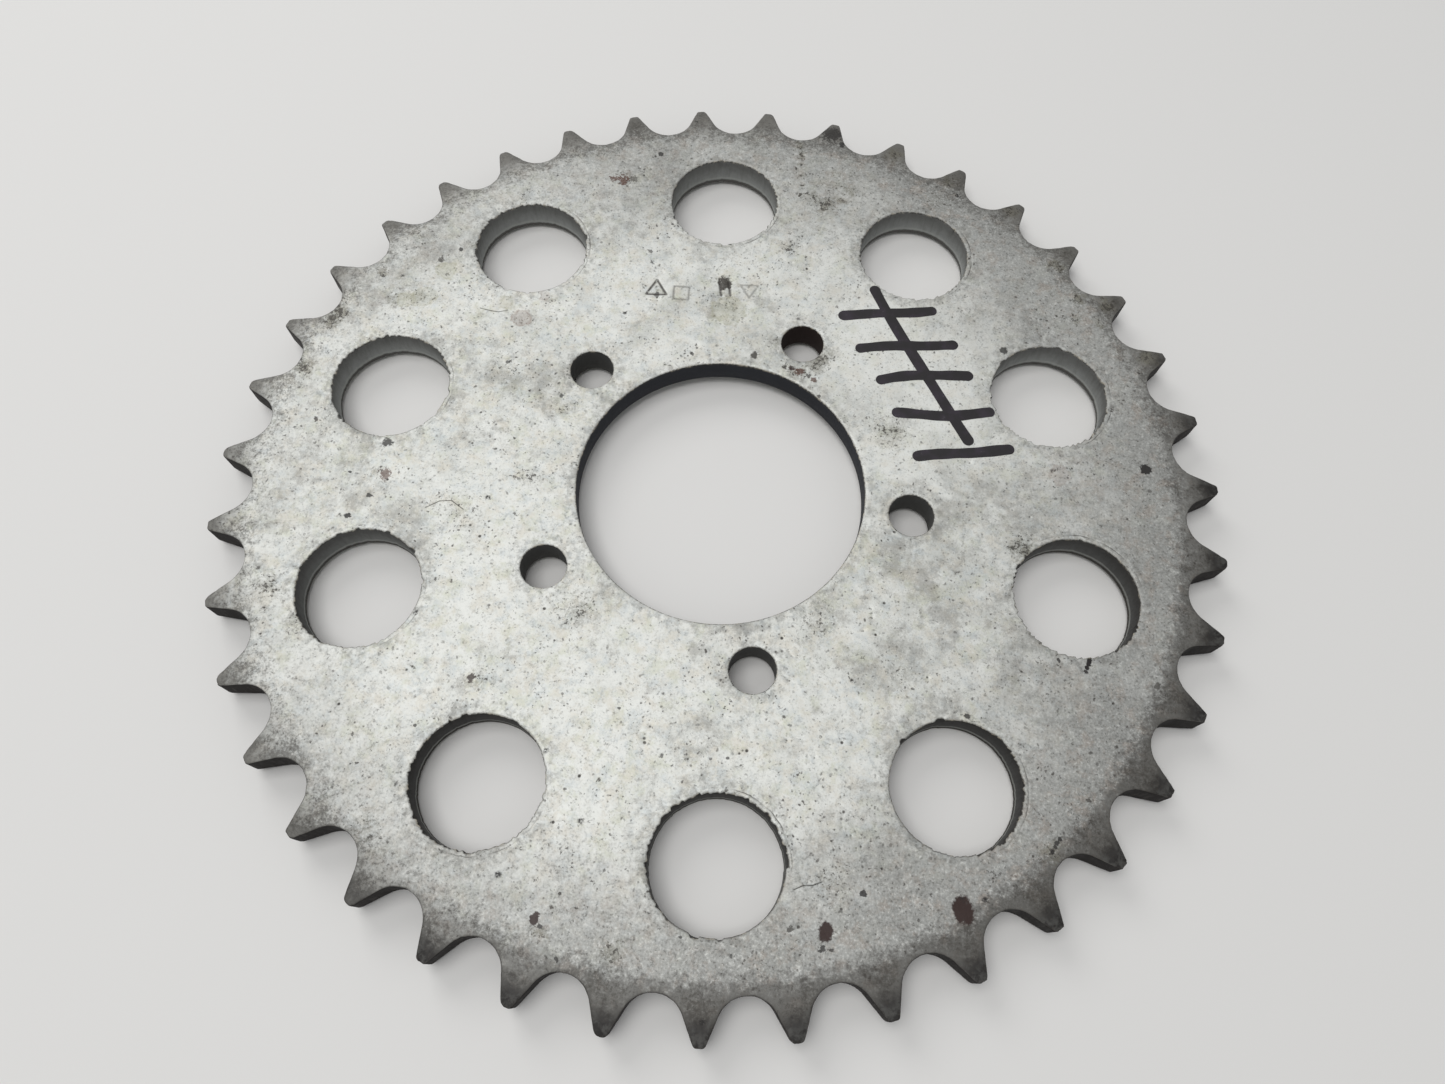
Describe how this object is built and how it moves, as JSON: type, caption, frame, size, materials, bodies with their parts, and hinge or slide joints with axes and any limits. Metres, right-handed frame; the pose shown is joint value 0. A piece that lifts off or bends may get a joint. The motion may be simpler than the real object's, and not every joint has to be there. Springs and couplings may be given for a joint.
{
  "type": "rear sprocket",
  "caption": "Flat one-piece steel chain sprocket for a motorcycle rear wheel, with a toothed rim, round lightening windows, bolt holes and a large centre bore.",
  "frame": {"origin": "on the wheel axis, in the back face that seats against the wheel hub", "axes": "+Z along the wheel axis towards the outer face, +Y through a tooth tip"},
  "size_m": [0.1624, 0.1622, 0.006],
  "materials": {
    "zinc_plated_steel": "dull weathered zinc plating, light grey, stained and speckled"
  },
  "bodies": {
    "root": {"sprocket_plate": "zinc_plated_steel"}
  },
  "joints": []
}
